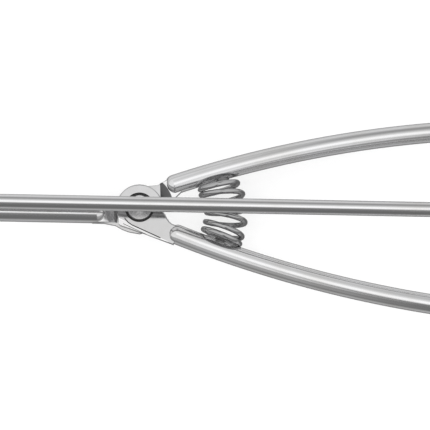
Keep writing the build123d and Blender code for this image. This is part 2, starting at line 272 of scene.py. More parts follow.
# %% Drawn lines along a rod
drawn, given, result = shader_group(
    "drawn_lines",
    [("Place", VECTOR, None), ("Along", FLOAT, 40.0), ("Across", FLOAT, 2500.0)],
    ["Lines"],
)
apart = drawn.nodes.new("ShaderNodeSeparateXYZ")
stretch_x = math_node(drawn.nodes, "MULTIPLY")
stretch_y = math_node(drawn.nodes, "MULTIPLY")
together = drawn.nodes.new("ShaderNodeCombineXYZ")
grain = drawn.nodes.new("ShaderNodeTexNoise")
grain.inputs["Scale"].default_value = 1.0
grain.inputs["Detail"].default_value = 3.0
drawn.links.new(given.outputs["Place"], apart.inputs[0])
drawn.links.new(apart.outputs["X"], stretch_x.inputs[0])
drawn.links.new(given.outputs["Along"], stretch_x.inputs[1])
drawn.links.new(apart.outputs["Y"], stretch_y.inputs[0])
drawn.links.new(given.outputs["Across"], stretch_y.inputs[1])
drawn.links.new(stretch_x.outputs[0], together.inputs["X"])
drawn.links.new(stretch_y.outputs[0], together.inputs["Y"])
drawn.links.new(together.outputs[0], grain.inputs["Vector"])
drawn.links.new(grain.outputs["Fac"], result.inputs["Lines"])

# %% Lathe rings round an axis
turned, given, result = shader_group(
    "turned_rings", [("Place", VECTOR, None), ("Rings", FLOAT, 9000.0)], ["Rings"]
)
flat = turned.nodes.new("ShaderNodeVectorMath")
flat.operation = "MULTIPLY"
flat.inputs[1].default_value = (1, 1, 0)
far = turned.nodes.new("ShaderNodeVectorMath")
far.operation = "LENGTH"
count = math_node(turned.nodes, "MULTIPLY")
ridge = turned.nodes.new("ShaderNodeTexNoise")
ridge.noise_dimensions = "1D"
ridge.inputs["Scale"].default_value = 1.0
ridge.inputs["Detail"].default_value = 2.0
turned.links.new(given.outputs["Place"], flat.inputs[0])
turned.links.new(flat.outputs[0], far.inputs[0])
turned.links.new(far.outputs["Value"], count.inputs[0])
turned.links.new(given.outputs["Rings"], count.inputs[1])
turned.links.new(count.outputs[0], ridge.inputs["W"])
turned.links.new(ridge.outputs["Fac"], result.inputs["Rings"])

# %% Film of handling
handled, given, result = shader_group(
    "handling_film", [("Place", VECTOR, None), ("Patches", FLOAT, 60.0)], ["Film"]
)
clouds = handled.nodes.new("ShaderNodeTexNoise")
clouds.inputs["Detail"].default_value = 4.0
clouds.inputs["Roughness"].default_value = 0.6
film = value_ramp(handled.nodes, [(0.42, 0.0), (0.68, 1.0)])
handled.links.new(given.outputs["Place"], clouds.inputs["Vector"])
handled.links.new(given.outputs["Patches"], clouds.inputs["Scale"])
handled.links.new(clouds.outputs["Fac"], film.inputs["Fac"])
handled.links.new(film.outputs["Color"], result.inputs["Film"])

# %% Rub and painted glint on the edges
# The mask lightens the base colour at every sharp edge: edge wear together with a painted glint.
rub_and_glint_group, given, result = shader_group("edge_rub_and_glint", [("Width", FLOAT, 0.0004)], ["Rub"])
soft = rub_and_glint_group.nodes.new("ShaderNodeBevel")
soft.samples = 4
true_normal = rub_and_glint_group.nodes.new("ShaderNodeNewGeometry")
agree = rub_and_glint_group.nodes.new("ShaderNodeVectorMath")
agree.operation = "DOT_PRODUCT"
differ = math_node(rub_and_glint_group.nodes, "SUBTRACT", 1.0)
louder = math_node(rub_and_glint_group.nodes, "MULTIPLY", None, 6.0)
louder.use_clamp = True
rub_and_glint_group.links.new(given.outputs["Width"], soft.inputs["Radius"])
rub_and_glint_group.links.new(soft.outputs["Normal"], agree.inputs[0])
rub_and_glint_group.links.new(true_normal.outputs["Normal"], agree.inputs[1])
rub_and_glint_group.links.new(agree.outputs["Value"], differ.inputs[1])
rub_and_glint_group.links.new(differ.outputs[0], louder.inputs[0])
rub_and_glint_group.links.new(louder.outputs[0], result.inputs["Rub"])
print("groups", [tree.name for tree in bpy.data.node_groups])

# %% [markdown]
# Every finish here is bare stainless steel, and only its surface differs. The steels share one
# recipe: a pattern of marks feeds Roughness and a Bump, the film dulls it in patches, and the rub
# brightens edges, as edge wear with a painted glint. Each finish then sets its own numbers, so they
# stay a family. In the pin seat, the bore, the ground lines and the handle's cutter step the tone is
# far darker: that is painted shade in those recesses.

# %% A steel finish
MARK_DEPTH = 0.00004     # metres


def steel(name, tone, polish, marks, marks_place, numbers, dulling, bump, rub_glint_width=0.0003):
    """Bare steel. polish is the roughness without marks; marks is the group of its pattern."""
    material = bpy.data.materials.new(name)
    material.use_nodes = True
    nodes, links = material.node_tree.nodes, material.node_tree.links
    shader = nodes["Principled BSDF"]
    shader.inputs["Metallic"].default_value = 1.0
    place = nodes.new("ShaderNodeTexCoord")
    pattern = nodes.new("ShaderNodeGroup")
    pattern.node_tree = marks
    if marks_place == "UV":
        links.new(place.outputs["UV"], pattern.inputs["Place"])
    else:
        centre = nodes.new("ShaderNodeVectorMath")
        centre.operation = "SUBTRACT"
        centre.inputs[1].default_value = marks_place
        links.new(place.outputs["Object"], centre.inputs[0])
        links.new(centre.outputs[0], pattern.inputs["Place"])
    for socket, value in numbers.items():
        pattern.inputs[socket].default_value = value
    film = nodes.new("ShaderNodeGroup")
    film.node_tree = handled
    links.new(place.outputs["Object"], film.inputs["Place"])
    rub_glint = nodes.new("ShaderNodeGroup")
    rub_glint.node_tree = rub_and_glint_group
    rub_glint.inputs["Width"].default_value = rub_glint_width
    rough = math_node(nodes, "MULTIPLY_ADD", None, dulling, polish)
    streak = math_node(nodes, "MULTIPLY_ADD", None, 0.6 * dulling)
    links.new(film.outputs["Film"], rough.inputs[0])
    links.new(pattern.outputs[0], streak.inputs[0])
    links.new(rough.outputs[0], streak.inputs[2])
    links.new(streak.outputs[0], shader.inputs["Roughness"])
    shade = nodes.new("ShaderNodeMix")
    shade.data_type = "RGBA"
    shade.inputs["A"].default_value = (tone, tone, tone * 1.01, 1)
    shade.inputs["B"].default_value = (tone * 0.93, tone * 0.92, tone * 0.91, 1)
    # Edges are lightened here by the rub mask: wear together with a painted glint.
    bright = nodes.new("ShaderNodeMix")
    bright.data_type = "RGBA"
    bright.inputs["B"].default_value = (min(tone * 1.12, 0.95),) * 3 + (1,)
    links.new(film.outputs["Film"], shade.inputs["Factor"])
    links.new(rub_glint.outputs["Rub"], bright.inputs["Factor"])
    links.new(shade.outputs["Result"], bright.inputs["A"])
    links.new(bright.outputs["Result"], shader.inputs["Base Color"])
    relief = nodes.new("ShaderNodeBump")
    relief.inputs["Strength"].default_value = bump
    relief.inputs["Distance"].default_value = MARK_DEPTH
    links.new(pattern.outputs[0], relief.inputs["Height"])
    links.new(relief.outputs["Normal"], shader.inputs["Normal"])
    return material


ROD_LINES = {"Along": 30.0, "Across": 3000.0}
polished_rod = steel("polished_rod", 0.80, 0.10, drawn, "UV", ROD_LINES, 0.05, 0.06)
forged_face = steel("forged_face", 0.57, 0.09, drawn, (0, 0, 0), {"Along": 300.0, "Across": 2500.0},
                    0.06, 0.04)
# The ground bevel: brighter ground steel, with its tone raised further as a painted highlight.
ground_bevel_highlight = steel("ground_bevel_highlight", 0.93, 0.12, drawn, (0, 0, 0), {"Along": 500.0, "Across": 2500.0},
                     0.06, 0.05)
spring_wire = steel("spring_wire", 0.47, 0.07, drawn, "UV", {"Along": 60.0, "Across": 4000.0},
                    0.05, 0.03)
turned_steel = steel("turned_steel", 0.76, 0.20, turned, pivot, {"Rings": 7000.0}, 0.10, 0.15)
pressed_sheet = steel("pressed_sheet", 0.78, 0.24, drawn, (0, 0, 0),
                      {"Along": 120.0, "Across": 1800.0}, 0.12, 0.08)
# Near-black steel for the pin seat, the front bore and the ground lines: painted shade in these
# recesses.
recess_painted_shade = steel("recess_painted_shade", 0.10, 0.42, drawn, (0, 0, 0), {"Along": 700.0, "Across": 1500.0},
                   0.20, 0.10, 0.0001)
# Near-black steel for the handle's crescent step: painted shade on the cutter's cone.
step_painted_shade = steel("step_painted_shade", 0.15, 0.30, drawn, (0, 0, 0), {"Along": 700.0, "Across": 1500.0},
                 0.20, 0.15, 0.0001)
print("finishes", [m.name for m in bpy.data.materials])

# %% [markdown]
# A rod is a round section carried along a path, and a forged end is the same section squeezed
# flat and wide. A curve with a bevel makes the rod, but not the squeeze. So each rod is built ring
# by ring: a station says where the ring is, which way it faces, and its two half sizes.

# %% Rings along a path
AROUND = 48


def ring(half_a, half_b, squareness):
    """Points round a section: an ellipse at squareness 2, a soft rectangle above it."""
    points = []
    for k in range(AROUND):
        turn_angle = 2 * math.pi * k / AROUND
        c, s = math.cos(turn_angle), math.sin(turn_angle)
        reach = (abs(c) ** squareness + abs(s) ** squareness) ** (-1 / squareness)
        points.append((half_a * c * reach, half_b * s * reach))
    return points


def ringed_mesh(name, stations, material):
    """A closed mesh through stations of (centre in m, side a, side b, half a, half b, squareness)."""
    bm = bmesh.new()
    uv = bm.loops.layers.uv.new("rod")
    rings, travelled = [], [0.0]
    for centre, side_a, side_b, half_a, half_b, squareness in stations:
        rings.append([bm.verts.new(centre + (side_a * a + side_b * b) * MM)
                      for a, b in ring(half_a, half_b, squareness)])
    for before, after in zip(stations, stations[1:]):
        travelled.append(travelled[-1] + (after[0] - before[0]).length)
    girth = 2 * math.pi * HEAVY_R * MM
    for i in range(len(rings) - 1):
        for k in range(AROUND):
            m = (k + 1) % AROUND
            face = bm.faces.new((rings[i][k], rings[i][m], rings[i + 1][m], rings[i + 1][k]))
            face.smooth = True
            spots = ((travelled[i], k), (travelled[i], k + 1),
                     (travelled[i + 1], k + 1), (travelled[i + 1], k))
            for loop, (along, step) in zip(face.loops, spots):
                loop[uv].uv = (along, step * girth / AROUND)
    bm.faces.new(rings[0][::-1])
    bm.faces.new(rings[-1])
    bmesh.ops.recalc_face_normals(bm, faces=bm.faces)
    mesh = bpy.data.meshes.new(name)
    bm.to_mesh(mesh)
    bm.free()
    mesh.materials.append(material)
    piece = bpy.data.objects.new(name, mesh)
    bpy.context.scene.collection.objects.link(piece)
    return piece


# %% [markdown]
# A bent rod is described as a bender works: feed so many millimetres, turn so many degrees. Walking
# along that list gives any point of the path, so no table of points is needed.

# %% Walk along a bent rod
def walk(start, heading, bends, distance):
    """Point and heading (degrees) after distance mm along bends of (length, turn in degrees)."""
    x, y = start
    for length, turn_by in bends:
        step = min(distance, length)
        swept = turn_by * step / length
        if abs(turn_by) < 1e-9:
            x += step * math.cos(math.radians(heading))
            y += step * math.sin(math.radians(heading))
        else:
            radius = length / math.radians(turn_by)
            x += radius * (math.sin(math.radians(heading + swept)) - math.sin(math.radians(heading)))
            y -= radius * (math.cos(math.radians(heading + swept)) - math.cos(math.radians(heading)))
        heading += swept
        distance -= step
        if distance <= 0:
            break
    return x, y, heading


def arc(radius, turn_by):
    """A bend of that radius, as (length, turn)."""
    return radius * abs(math.radians(turn_by)), turn_by


def s_bend(length, offset, first=1):
    """Two equal arcs that step sideways; first is the sign of the first turn."""
    radius = (length ** 2 + offset ** 2) / (4 * offset)
    swing = math.degrees(math.asin(length / (2 * radius)))
    return [arc(radius, first * swing), arc(radius, -first * swing)]


def spacing(total, dome_start, dome_end, step=1.6):
    """Distances along a rod, crowded inside its domed ends."""
    steps = 12
    found = [dome_start * (1 - math.cos(math.pi / 2 * k / steps)) for k in range(1, steps + 1)]
    plain = total - dome_start - dome_end
    count = max(2, round(plain / step))
    found += [dome_start + plain * k / count for k in range(1, count + 1)]
    found += [total - dome_end * (1 - math.sin(math.pi / 2 * k / steps)) for k in range(1, steps)]
    kept = []
    for d in found:
        d = min(max(d, 0.02), total - 0.02)
        if not kept or d > kept[-1] + 0.01:
            kept.append(d)
    return kept


def dome(distance, total, dome_start, dome_end):
    """How full the section is: 1 along the rod, falling to nearly 0 at the domed ends."""
    full = 1.0
    if distance < dome_start:
        full = math.sqrt(max(1 - (1 - distance / dome_start) ** 2, 1e-4))
    if total - distance < dome_end:
        full = math.sqrt(max(1 - (1 - (total - distance) / dome_end) ** 2, 1e-4))
    return full


def ease(value, low, high):
    """0 below low, 1 above high, smooth between."""
    t = min(max((value - low) / (high - low), 0), 1)
    return t * t * (3 - 2 * t)

# %% [markdown]
# Plates, holes and steps come from simple closed tools: an outline pushed up into a plate, and a
# profile spun round the pivot into a cutter. Boolean modifiers add and carve them, and the result
# is kept as a plain mesh.

# %% Plates, cutters and booleans
def keep_piece(name, bm, material):
    """Turns a bmesh into an object with one material."""
    bmesh.ops.recalc_face_normals(bm, faces=bm.faces)
    mesh = bpy.data.meshes.new(name)
    bm.to_mesh(mesh)
    bm.free()
    mesh.materials.append(material)
    piece = bpy.data.objects.new(name, mesh)
    bpy.context.scene.collection.objects.link(piece)
    return piece


def plate(name, outline, low, high, edge, material):
    """An outline in mm pushed from z low to z high, with rounded edges."""
    bm = bmesh.new()
    face = bm.faces.new([bm.verts.new(at(x, y, low)) for x, y in outline])
    grown = bmesh.ops.extrude_face_region(bm, geom=[face])
    moved = [v for v in grown["geom"] if isinstance(v, bmesh.types.BMVert)]
    bmesh.ops.translate(bm, verts=moved, vec=(0, 0, (high - low) * MM))
    flat_edges = [e for e in bm.edges if abs(e.verts[0].co.z - e.verts[1].co.z) < 1e-7]
    if edge:
        bmesh.ops.bevel(bm, geom=flat_edges, offset=edge * MM, segments=3, profile=0.5,
                        affect="EDGES")
    return keep_piece(name, bm, material)


def spun(name, profile, centre, material, segments=128):
    """A closed profile of (radius, height) in mm, spun round the upright axis at centre."""
    bm = bmesh.new()
    loops = []
    for radius, height in profile:
        loops.append([
            bm.verts.new(centre + Vector((radius * math.cos(2 * math.pi * k / segments),
                                          radius * math.sin(2 * math.pi * k / segments),
                                          height)) * MM)
            for k in range(segments)
        ])
    for low, high in zip(loops, loops[1:]):
        for k in range(segments):
            m = (k + 1) % segments
            bm.faces.new((low[k], low[m], high[m], high[k]))
    bm.faces.new(loops[0][::-1])
    bm.faces.new(loops[-1])
    return keep_piece(name, bm, material)


def apply_modifiers(piece):
    """Replaces a piece's mesh by what its modifiers make of it."""
    seen = piece.evaluated_get(bpy.context.evaluated_depsgraph_get())
    mesh = bpy.data.meshes.new_from_object(seen)
    piece.modifiers.clear()
    piece.data = mesh


def combine(piece, tool, operation):
    """Unites or carves piece with tool, which is used up."""
    modifier = piece.modifiers.new("join", "BOOLEAN")
    modifier.operation = operation
    modifier.solver = "EXACT"
    modifier.material_mode = "TRANSFER"
    modifier.object = tool
    apply_modifiers(piece)
    bpy.data.objects.remove(tool)


def settle_normals(piece, sharp_degrees=32):
    """Smooth shading that stays flat on flat faces and breaks at real edges."""
    piece.data.shade_smooth()
    piece.data.set_sharp_from_angle(angle=math.radians(sharp_degrees))
    weighted = piece.modifiers.new("weighted", "WEIGHTED_NORMAL")
    weighted.keep_sharp = True
    apply_modifiers(piece)


def stand_for(piece, node, body):
    """The piece replaces its CAD node and rides on the same body."""
    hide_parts(node)
    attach(piece, body)
    print(piece.name, len(piece.data.polygons), "faces")


def arc_points(centre, radius, start, end, count):
    """Points along an arc in mm and degrees."""
    return [(centre[0] + radius * math.cos(math.radians(start + (end - start) * k / count)),
             centre[1] + radius * math.sin(math.radians(start + (end - start) * k / count)))
            for k in range(count + 1)]


# %% [markdown]
# The fixed handle is one heavy rod. Its bow leaves the eye at twenty degrees, straightens, and
# turns in at the tail, where the smith flattened it into a round eye for the eyelet.

# %% Fixed handle: the rod
TAIL_X = 184.0
TAIL_EYE_R = 7.5
UP = Vector((0, 0, 1))
LOWER_SLOPE, LOWER_BOW_R = -20.7, 380.0
LOWER_BOW = arc(LOWER_BOW_R, -LOWER_SLOPE)
LOWER_LEAD = 2.4                             # straight bit before the bow
LOWER_START_X, LOWER_STRAIGHT_END = 11.6, 160.0
TAIL_BEND_R, TAIL_REACH = 24.0, 60.0
BULLET = 2.9
LOWER_TIP = (9.35, -7.25)
bow_run = LOWER_BOW_R * math.sin(math.radians(-LOWER_SLOPE))
lower_straight = LOWER_STRAIGHT_END - LOWER_START_X - bow_run
lower_bends = [(LOWER_LEAD, 0), LOWER_BOW, (lower_straight, 0), arc(TAIL_BEND_R, 90),
               (TAIL_REACH, 0)]
TAIL_HALF_THICK = 1.5


def planar_rod(name, start, heading, bends, total, ends, half_sizes, material, level=0.0):
    """A heavy rod in the mid plane. half_sizes(distance) gives half a, half b, squareness."""
    stations = []
    for distance in spacing(total, *ends):
        x, y, toward = walk(start, heading, bends, distance)
        across = Vector((-math.sin(math.radians(toward)), math.cos(math.radians(toward)), 0))
        half_a, half_b, squareness, shift = half_sizes(distance, total)
        full = dome(distance, total, *ends)
        centre = at(x, y, level) + across * shift * MM
        stations.append((centre, across, UP, half_a * full, half_b * full, squareness))
    return ringed_mesh(name, stations, material)


def even_round(radius):
    """Half sizes of a rod that keeps one radius all the way."""
    def sizes(distance, total):
        return radius, radius, 2, 0.0
    return sizes


def tail_eye_width(left, rod_r):
    """Half width of a rod that widens into the round tail eye, so far from its end."""
    wide = 0
    if left < 2 * TAIL_EYE_R:
        wide = math.sqrt(max(TAIL_EYE_R ** 2 - (TAIL_EYE_R - left) ** 2, 0))
    return max(wide, rod_r * ease(left, 3.0, 11.0))


def tail_half_sizes(distance, total):
    """Round rod, then flattened and widened into a round eye at its end."""
    left = total - distance
    flatness = ease(left, 13.0, 27.0)
    half_b = TAIL_HALF_THICK + (HEAVY_R - TAIL_HALF_THICK) * flatness
    return tail_eye_width(left, HEAVY_R), half_b, 2 + 6 * (1 - flatness), 0.0


to_tail = sum(length for length, _ in lower_bends[:4])
x, y, _ = walk(LOWER_TIP, LOWER_SLOPE, lower_bends[:4], to_tail)
lower_total = to_tail + TAIL_EYE_R - y
print("turned-in tail at x =", round(x, 1), "mm")
lower_handle = planar_rod("fixed_handle_rod", LOWER_TIP, LOWER_SLOPE, lower_bends, lower_total,
                          (BULLET, 0.4), tail_half_sizes, polished_rod)

# %% [markdown]
# Its front eye is a teardrop plate. One long edge was ground to a bevel, and the bore has a
# shallow seat where the pin's head sits flush. A slanted cut makes the bevel, because an edge
# bevel would keep one width, and the real one narrows to nothing. The grinding wheel left a line
# on each side of the bevel, so two thin rods carve them.

# %% Fixed handle: the eye
FRONT_OUTLINE = (
    arc_points((0, 0), 7.35, -6, 172, 44)
    + [(-6.9, -3.0), (-6.45, -5.35), (-6.0, -5.75)]
    + [(-2.0, -7.05), (4.0, -9.3), (11.0, -11.8), (13.6, -6.6)]
    + [(11.9, -5.5), (10.9, -5.25), (10.2, -4.85), (9.55, -4.3), (8.75, -3.1), (8.15, -1.95)]
)
front_eye = plate("front_eye", FRONT_OUTLINE, PLATE_GAP, PLATE_TOP, 0.4, forged_face)
# The bevel's faces take the brighter steel: ground steel plus a painted highlight.
front_eye.data.materials.append(ground_bevel_highlight)
BEVEL_FROM, BEVEL_TO, BEVEL_DEG = Vector((-6.06, -3.7, 0)), Vector((6.6, -9.5, 0)), 9
along_bevel = (BEVEL_TO - BEVEL_FROM).normalized()
outward = Vector((along_bevel.y, -along_bevel.x, 0))
cut_normal = outward * math.sin(math.radians(BEVEL_DEG)) + UP * math.cos(math.radians(BEVEL_DEG))
bm = bmesh.new()
bm.from_mesh(front_eye.data)
cut = bmesh.ops.bisect_plane(bm, geom=bm.verts[:] + bm.edges[:] + bm.faces[:],
                             plane_co=at(BEVEL_FROM.x, BEVEL_FROM.y, PLATE_TOP),
                             plane_no=cut_normal, clear_outer=True)
rim = [e for e in cut["geom_cut"] if isinstance(e, bmesh.types.BMEdge)]
filled = bmesh.ops.edgeloop_fill(bm, edges=rim)
for face in filled["faces"]:
    face.material_index = 1
bm.to_mesh(front_eye.data)
bm.free()
SEAT_R, SEAT_FLOOR = 4.65, 0.88
SEAT_PROFILE = [(SEAT_R, SEAT_FLOOR), (SEAT_R, PLATE_TOP - 0.08), (SEAT_R + 0.2, PLATE_TOP + 0.12),
                (SEAT_R + 0.2, 4)]
# The seat's walls and floor take the near-black steel, as painted shade in the recess.
seat = spun("seat", SEAT_PROFILE, pivot, recess_painted_shade)
combine(front_eye, seat, "DIFFERENCE")
SCRIBES = (  # start, heading, bends, level and radius of two ground lines along the bevel
    ((6.9, -9.65), 156.5, [(9.8, 0), arc(5.6, -36)], PLATE_TOP, 0.17),
    ((6.2, -10.3), 156.1, [(12.4, 0)], PLATE_TOP - 0.15, 0.09),
)
# The ground lines are carved with the same near-black steel, as painted shade in the grooves.
for start, heading, bends, level, scribe_r in SCRIBES:
    scribe = planar_rod("scribe", start, heading, bends, sum(b[0] for b in bends), (0.3, 0.3),
                        even_round(scribe_r), recess_painted_shade, level)
    combine(front_eye, scribe, "DIFFERENCE")
# The bore's wall is near-black too, as painted shade.
FRONT_BORE_R = 2.52
combine(front_eye, spun("bore", [(FRONT_BORE_R, -1), (FRONT_BORE_R, 4)], pivot, recess_painted_shade),
        "DIFFERENCE")
combine(lower_handle, front_eye, "UNION")
tail_centre = at(TAIL_X, 0, 0)
EYELET_OUT_R = 3.8
combine(lower_handle, spun("tail_hole", [(EYELET_OUT_R, -4), (EYELET_OUT_R, 4)], tail_centre,
                           forged_face), "DIFFERENCE")
settle_normals(lower_handle)
lower_handle.name = "fixed_handle"
stand_for(lower_handle, "lower_handle", "frame")

# %% [markdown]
# The moving arm is three things forged from one rod: the curled handle, the rear eye and the
# shank that crosses over to its jaw. A round cutter faced the eye down from both rods, and its
# cone left a crescent step at each. The same cone is carved here.

# %% Moving arm: the two rods
UPPER_TIP, UPPER_SLOPE, UPPER_LEAD = (8.35, 6.75), 19.3, 3.05
UPPER_BOW_R = 356.0
CURL_R, CURL_DEG = 85.0, 15.5
upper_bends = [(UPPER_LEAD, 0), arc(UPPER_BOW_R, -UPPER_SLOPE), arc(CURL_R, -CURL_DEG)]
upper_total = sum(length for length, _ in upper_bends) + HEAVY_R
JAW_ROD_Y = 10.9
BEND_START, BEND_LENGTH = 48.0, 32.0
DOME_X = 90.0
SHANK_TIP = (-10.6, -2.0)
PADDLE_END = 111.5
PADDLE_Y, PADDLE_HALF_T, PADDLE_HALF_W = 10.27, 1.0, 4.5


def paddle_half_sizes(rod_r):
    """Half sizes of a rod whose end is flattened into the strap that backs a jaw."""
    def sizes(distance, total):
        left = total - distance
        flatness = ease(left, PADDLE_END - DOME_X - 3.0, PADDLE_END - DOME_X + 7.0)
        round_end = PADDLE_HALF_W
        if left < PADDLE_HALF_W:
            round_end = math.sqrt(max(PADDLE_HALF_W ** 2 - (PADDLE_HALF_W - left) ** 2, 1e-3))
        half_a = PADDLE_HALF_T + (rod_r - PADDLE_HALF_T) * flatness
        half_b = min(PADDLE_HALF_W + (rod_r - PADDLE_HALF_W) * flatness, round_end + 5 * flatness)
        return half_a, half_b, 2 + 5 * (1 - flatness), (JAW_ROD_Y - PADDLE_Y) * (1 - flatness)
    return sizes


moving_handle = planar_rod("moving_handle_rod", UPPER_TIP, UPPER_SLOPE, upper_bends, upper_total,
                           (2.7, 3.4), even_round(HEAVY_R), polished_rod)
shank_offset = JAW_ROD_Y - SHANK_TIP[1]
shank_bends = ([(BEND_START + SHANK_TIP[0], 0)] + s_bend(BEND_LENGTH, shank_offset, -1)
               + [(PADDLE_END - BEND_START - BEND_LENGTH, 0)])
shank_total = sum(length for length, _ in shank_bends)
shank = planar_rod("moving_shank", SHANK_TIP, 180.0, shank_bends, shank_total, (3.0, 0.3),
                   paddle_half_sizes(HEAVY_R), polished_rod)

# %% Moving arm: the rear eye and its steps
REAR_R = 7.35
REAR_OUTLINE = (
    [(-5.5, -6.9), (-3.4, -7.7), (0.2, -8.3), (2.6, -7.6)]
    + arc_points((0, 0), REAR_R, -62, 12, 26)
    + [(10.9, 2.7), (12.0, 5.0), (11.4, 10.9)]
    + [(8.6, 9.4), (6.7, 8.05), (5.6, 7.45)]
    + arc_points((0, 0), REAR_R, 74, 152, 24)
    + [(-8.3, 2.2), (-11.2, 1.15), (-15.0, 1.15), (-15.0, -5.15), (-11.2, -5.15), (-7.5, -5.8)]
)
rear_eye = plate("rear_eye", REAR_OUTLINE, -PLATE_TOP, -PLATE_GAP, 0.18, forged_face)
STEP_TOP = 1.4
cone = [(7.5, -PLATE_GAP + 0.02), (7.6, -0.1), (10.9, STEP_TOP + 0.05), (10.9, 6)]
HANDLE_STEP = [(6.35, 7.8), (13.6, 11.6), (13.4, 5.4), (10.9, 2.8), (6.6, 2.9)]
SHANK_STEP = [(-6.9, 1.0), (-6.9, -4.9), (-14.6, -5.0), (-14.6, 1.0)]
# The handle step's cone takes the near-black steel as painted shade; the shank step's cone keeps the
# plate's steel.
for name, outline, cone_finish_and_shade in (("handle_step", HANDLE_STEP, step_painted_shade),
                                  ("shank_step", SHANK_STEP, forged_face)):
    step = plate(name, outline, -PLATE_GAP - 0.8, STEP_TOP, 0.25, polished_rod)
    combine(step, spun("facing_cone", cone, pivot, cone_finish_and_shade), "DIFFERENCE")
    combine(rear_eye, step, "UNION")
REAR_BORE_R = 2.55
combine(rear_eye, spun("rear_bore", [(REAR_BORE_R, -5), (REAR_BORE_R, 3)], pivot, forged_face),
        "DIFFERENCE")
combine(moving_handle, rear_eye, "UNION")
combine(moving_handle, shank, "UNION")
settle_normals(moving_handle)
moving_handle.name = "moving_arm"
stand_for(moving_handle, "lever_arm", "lever")

# %% [markdown]
# The backbone is the light rod. It runs dead straight over the pivot, steps down to the jaw at one
# end and to the tail at the other, and both ends are flattened. The two bends lie in different
# planes, so each half is walked in its own plane, and the halves meet above the pivot.

# %% Backbone rod
TAIL_LEVEL = 2.7
TAIL_HALF_T = 1.2
TAIL_DROP_START, TAIL_DROP_LENGTH = 156.0, 20.0
jaw_drop = Vector((0, -JAW_ROD_Y, -BACKBONE_Z))
jaw_drop_length = jaw_drop.length
jaw_bends = ([(BEND_START, 0)] + s_bend(BEND_LENGTH, jaw_drop_length)
             + [(PADDLE_END - BEND_START - BEND_LENGTH, 0)])
tail_bends = ([(TAIL_DROP_START, 0)] + s_bend(TAIL_DROP_LENGTH, BACKBONE_Z - TAIL_LEVEL)
              + [(TAIL_X + TAIL_EYE_R - TAIL_DROP_START - TAIL_DROP_LENGTH, 0)])


def tail_sizes(distance, total):
    """The light rod flattened into the upper tail eye."""
    left = total - distance
    flatness = ease(left, 12.0, 20.0)
    return tail_eye_width(left, LIGHT_R), TAIL_HALF_T + (LIGHT_R - TAIL_HALF_T) * flatness


backbone_stations = []
jaw_total = sum(length for length, _ in jaw_bends)
light_paddle = paddle_half_sizes(LIGHT_R)
for distance in reversed(spacing(jaw_total, 0.4, 0.3)):
    u, v, toward = walk((0, 0), 0, jaw_bends, distance)
    sink = jaw_drop.normalized() * v
    half_a, half_b, squareness, shift = light_paddle(distance, jaw_total)
    full = dome(distance, jaw_total, 0.01, 0.3)
    heading = Vector((math.cos(math.radians(toward)), 0, 0))
    heading += -jaw_drop.normalized() * math.sin(math.radians(toward))
    side = (Vector((0, 1, 0)) - heading * heading.y).normalized()
    centre = at(-u, sink.y + shift, BACKBONE_Z + sink.z)
    backbone_stations.append((centre, side, heading.cross(side).normalized(), half_a * full,
                              half_b * full, squareness))
tail_total = sum(length for length, _ in tail_bends)
for distance in spacing(tail_total, 0.4, 0.3)[1:]:
    u, v, toward = walk((0, 0), 0, tail_bends, distance)
    half_a, half_b = tail_sizes(distance, tail_total)
    full = dome(distance, tail_total, 0.01, 0.3)
    heading = Vector((math.cos(math.radians(toward)), 0, -math.sin(math.radians(toward))))
    side = Vector((0, 1, 0))
    flat_part = 1 - ease(tail_total - distance, 12.0, 20.0)
    backbone_stations.append((at(u, 0, BACKBONE_Z - v), side, heading.cross(side), half_a * full,
                              half_b * full, 2 + 6 * flat_part))
backbone = ringed_mesh("backbone", backbone_stations, polished_rod)
combine(backbone, spun("upper_tail_hole", [(EYELET_OUT_R, 0), (EYELET_OUT_R, 6)], tail_centre,
                       forged_face), "DIFFERENCE")
settle_normals(backbone)
stand_for(backbone, "backbone_rod", "frame")

# %% [markdown]
# The spring's axis is an arc about the pivot, so its turns fan out like a concertina. Its last
# turns at each end lie closed against the handles. A screw modifier winds only round a straight
# axis, so the wire's centreline is worked out turn by turn and ringed like the rods. Near both
# ends it is wound closer than the wire is thick, which a real spring can't be, so it cuts up to
# half a millimetre into its neighbour there.

# %% Coil spring
SPRING_ARC_R, COIL_R, WIRE_R = 27.6, 6.2, 0.86
CLOSED_TURNS, CLOSED_PITCH, OPEN_PITCH, TURNS = 0.8, 3.7, 7.9, 5.85     # pitches in degrees
LOW_CLOSED_TURNS, LOW_CLOSED_PITCH = 1.15, CLOSED_PITCH * 0.8
TOP_DEG = 17.2
START_PHASE = -79.0
TURN_STEPS = 72
spring_stations = []


def axis_reach(degrees):
    """How far the spring's axis is from the pivot: its top end leans in under the handle."""
    return SPRING_ARC_R - 1.7 * ease(degrees, 2.0, 17.0)


def wire_point(turns):
    """Centre of the wire after so many turns from the top end, in mm from the pivot."""
    closed_end = TURNS - LOW_CLOSED_TURNS
    degrees = TOP_DEG - CLOSED_PITCH * min(turns, CLOSED_TURNS)
    degrees -= OPEN_PITCH * min(max(turns - CLOSED_TURNS, 0), closed_end - CLOSED_TURNS)
    degrees -= LOW_CLOSED_PITCH * max(turns - closed_end, 0)
    level = math.radians(degrees)
    phase = math.radians(START_PHASE + 360 * turns)
    reach = axis_reach(degrees) + COIL_R * math.sin(phase)
    return Vector((reach * math.cos(level), reach * math.sin(level), COIL_R * math.cos(phase)))


